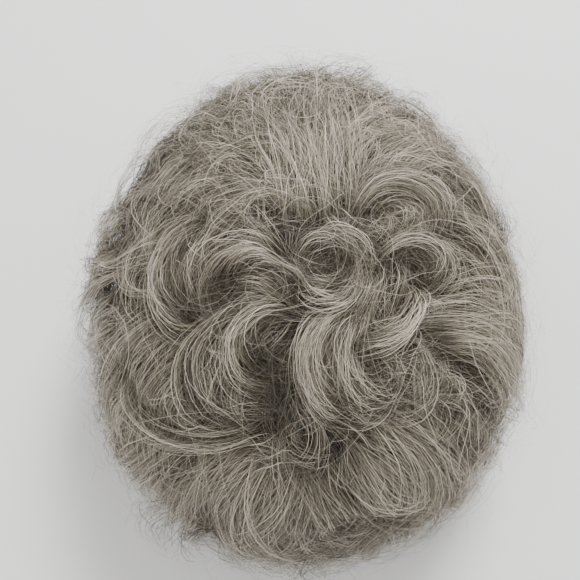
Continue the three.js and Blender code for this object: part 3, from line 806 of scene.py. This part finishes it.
def side_rings(rng, count, first, last, highest):
    """Small ringlets over the hanging curls."""
    return [{"start": side_start(angle, rng.uniform(34, highest), rng.uniform(-90, 90)),
             "length": rng.uniform(42, 72), "turn": rng.choice([-1, 1]) * rng.uniform(170, 300),
             "tighten": rng.uniform(0, 0.8), "width": 5, "lift": rng.uniform(9, 13) * corner_lift(angle),
             "bowl": 3, "inset": 1.5, "fade": 0.5, "tone": 0.7, "root": 0.2}
            for angle in rng.uniform(first, last, count)]


def tufts(rng, count, first, last):
    """Small curls round the head that lift off at their ends. Some stand out from the outline in loops."""
    places = [(rng.uniform(first, last), rng.uniform(34, 104), rng.uniform(6, 15), 0) for _ in range(count)]
    for row in outline_loops:
        if first <= row["angle"] <= last:
            places += [(row["angle"] + rng.normal(0, 2), row["height"] + rng.normal(0, 5),
                        row.get("flick", loop_flick), rng.uniform(3, 6)) for _ in range(loop_curls)]
    return [{"start": side_start(angle, height, rng.uniform(-80, 80)),
             "length": rng.uniform(30, 56), "turn": rng.choice([-1, 1]) * rng.uniform(120, 290),
             "tighten": rng.uniform(0, 1), "width": 5, "lift": rng.uniform(6, 11) * corner_lift(angle),
             "tone": 0.54, "flick": flick * corner_lift(angle), "loop": loop, "root": 0.3,
             "dense": loop_dense * (loop > 0)} for angle, height, flick, loop in places]


rng = np.random.default_rng(13)
fringe_rows = fringe_locks + hanging_curls(fringe_tips)
fringe_rings = side_rings(rng, 9, 238, 304, 62)
fringe_tufts = tufts(rng, 18, 232, 308)
laid = fringe_rings + fringe_rows + fringe_tufts
fringe_fibres = comb(rng, laid, fibres=7600, points=12, patch=34, wild=1.6, loose=0.14)
fringe = fibre_mesh("fringe", *fringe_fibres, curl_hair)
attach(fringe, "root")
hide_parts(*(row["node"] for row in fringe_rows))


# Hanging curls: two rows of locks of the same fibre round the sides and the nape, curled at their ends.
# The upper row is sewn below the crown and the lower one below it. Ringlets lie over them, and loose tufts
# stand out from the outline.
hanging_sides = [
    {"side": "left", "seed": 14, "rows": [
        {"name": "left_upper_curl", "count": 4, "first": -44, "last": 36, "height": 110,
         "swings": (-34,) * 4, "length": 74, "turns": (85,) * 4, "width": 48, "lifts": (9, 12, 9, 2)},
        {"name": "left_lower_curl", "count": 4, "first": -46, "last": 40, "height": 60,
         "swings": (34,) * 4, "length": 58, "turns": (-95,) * 4, "width": 54, "lifts": (9, 12, 9, 3)},
    ]},
    {"side": "nape", "seed": 15, "rows": [
        {"name": "nape_upper_curl", "count": 4, "first": 58, "last": 122, "height": 112,
         "swings": (30,) * 4, "length": 78, "turns": (-80,) * 4, "width": 45, "lifts": (1, 11, 10, 1)},
        {"name": "nape_lower_curl", "count": 4, "first": 62, "last": 122, "height": 60,
         "swings": (-32,) * 4, "length": 58, "turns": (90,) * 4, "width": 48, "lifts": (3, 10, 9, 3)},
    ]},
    {"side": "right", "seed": 16, "rows": [
        {"name": "right_upper_curl", "count": 4, "first": 144, "last": 222, "height": 110,
         "swings": (34,) * 4, "length": 74, "turns": (-85,) * 4, "width": 48, "lifts": (2, 12, 9, 11)},
        {"name": "right_lower_curl", "count": 4, "first": 144, "last": 228, "height": 60,
         "swings": (-34,) * 4, "length": 58, "turns": (95,) * 4, "width": 54, "lifts": (3, 12, 9, 11)},
    ]},
]
past_ends = 6

for group in hanging_sides:
    rng = np.random.default_rng(group["seed"])
    curls = [curl for row in group["rows"] for curl in hanging_curls(row)]
    reach = group["rows"][0]["first"] - past_ends, group["rows"][0]["last"] + past_ends
    laid = side_rings(rng, 30, *reach, 108) + curls + tufts(rng, 20, *reach)
    hanging_fibres = comb(rng, laid, fibres=5000, points=12, patch=90, wild=2.0, loose=0.12)
    hanging = fibre_mesh(group["side"] + "_hanging_curls", *hanging_fibres, curl_hair)
    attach(hanging, "root")
    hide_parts(*(curl["node"] for curl in curls))


# Floor and light: a plain, pale painted table top that the wig stands on, slightly uneven in tone.
# A soft lamp hangs behind the wig on its left, a weaker one in front on its right, and the room is bright.
floor_colour = (0.95, 0.95, 0.94)
floor_pale = (0.965, 0.965, 0.955)
floor_grain = 3.0
floor_half = 3.0
room_colour = (1.0, 0.995, 0.985)
room_strength = 0.8

floor_paint, shade = new_material("floor_paint")
spot = shade.node("ShaderNodeTexCoord", output="Object")
grain = shade.node("ShaderNodeTexNoise", {}, {"Vector": spot, "Scale": floor_grain})
floor_tone = shade.node("ShaderNodeMix", {"data_type": "RGBA"},
                        {0: grain, 6: (*floor_colour, 1), 7: (*floor_pale, 1)}, 2)
finish_material(shade, {"Base Color": floor_tone, "Roughness": 0.7})
floor_mesh = bpy.data.meshes.new("floor")
floor_corners = [(-1, -1), (1, -1), (1, 1), (-1, 1)]
floor_mesh.from_pydata([(x * floor_half, y * floor_half, 0) for x, y in floor_corners], [], [(0, 1, 2, 3)])
floor_mesh.materials.append(floor_paint)
floor = bpy.data.objects.new("floor", floor_mesh)
bpy.context.scene.collection.objects.link(floor)

world = bpy.data.worlds.new("room")
world.use_nodes = True
background = world.node_tree.nodes["Background"]
background.inputs["Color"].default_value = (*room_colour, 1)
background.inputs["Strength"].default_value = room_strength
bpy.context.scene.world = world

lamps = [
    {"name": "key", "place": (0.3, 0.7, 1.1), "size": 0.5, "power": 22},
    {"name": "fill", "place": (-0.8, -0.6, 1.0), "size": 0.9, "power": 4},
]
lamp_aim = Vector((0, 0, 0.08))
for row in lamps:
    light = bpy.data.lights.new(row["name"], "AREA")
    light.energy = row["power"]
    light.size = row["size"]
    lamp = bpy.data.objects.new(row["name"], light)
    lamp.location = row["place"]
    lamp.rotation_euler = (Vector(row["place"]) - lamp_aim).to_track_quat("Z", "Y").to_euler()
    bpy.context.scene.collection.objects.link(lamp)
